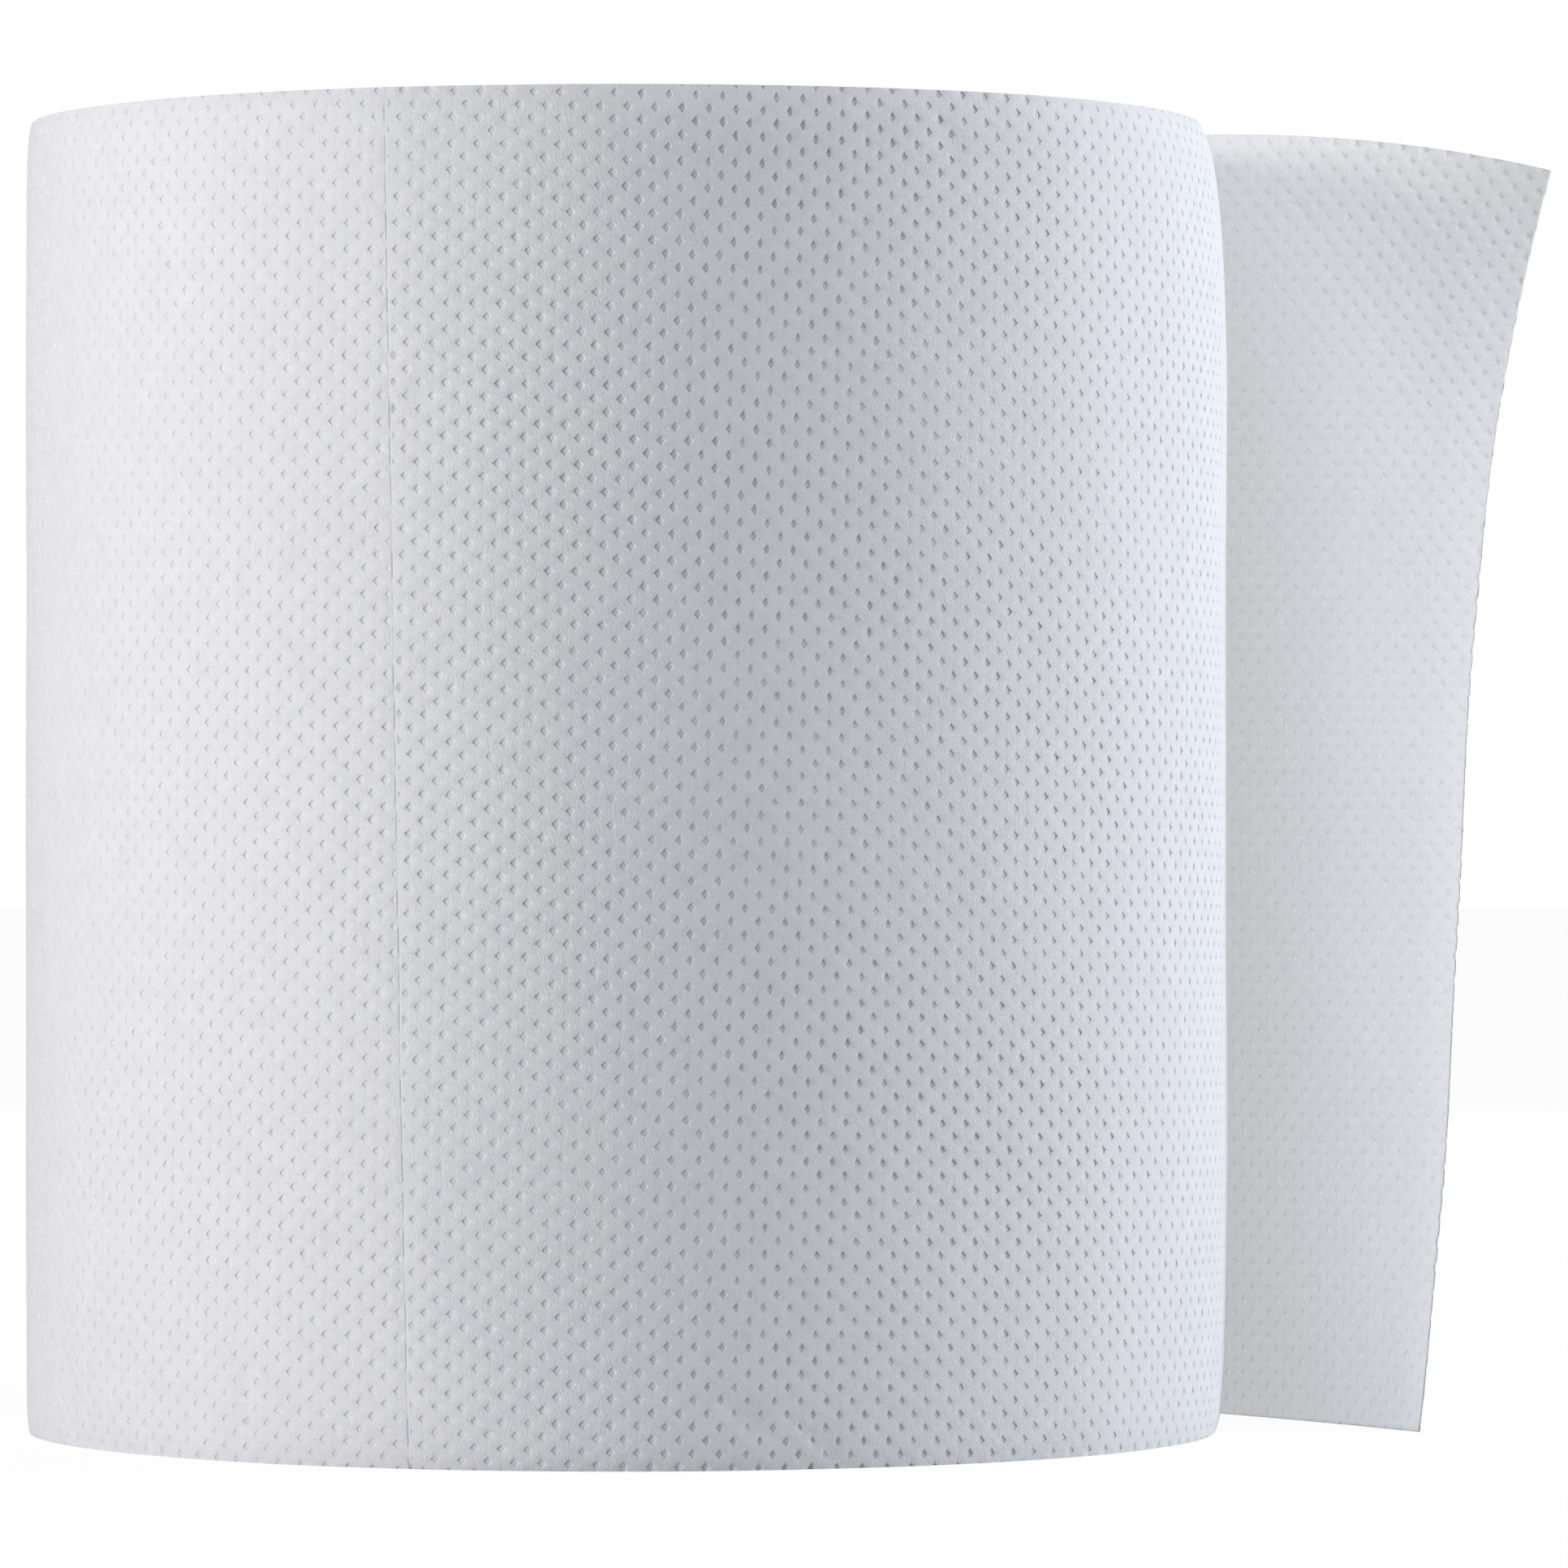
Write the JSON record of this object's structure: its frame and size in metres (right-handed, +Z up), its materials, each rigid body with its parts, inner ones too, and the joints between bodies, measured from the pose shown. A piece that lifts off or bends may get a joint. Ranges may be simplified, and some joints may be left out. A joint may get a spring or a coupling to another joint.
{
  "type": "paper towel roll",
  "caption": "Large embossed paper towel roll standing on end, with its loose outer end hanging open and a hollow cardboard core.",
  "frame": {"origin": "centre of the core's lower mouth, on the surface that the roll stands on", "axes": "+Z up along the core, +X to the side where the loose end hangs, +Y away from the side that the picture shows"},
  "size_m": [0.2328, 0.1846, 0.2],
  "materials": {
    "towel_paper": "soft matt embossed tissue",
    "core_board": "matt grey-brown wound board"
  },
  "bodies": {
    "root": {"towel_web": "towel_paper", "core_tube": "core_board"}
  },
  "joints": []
}
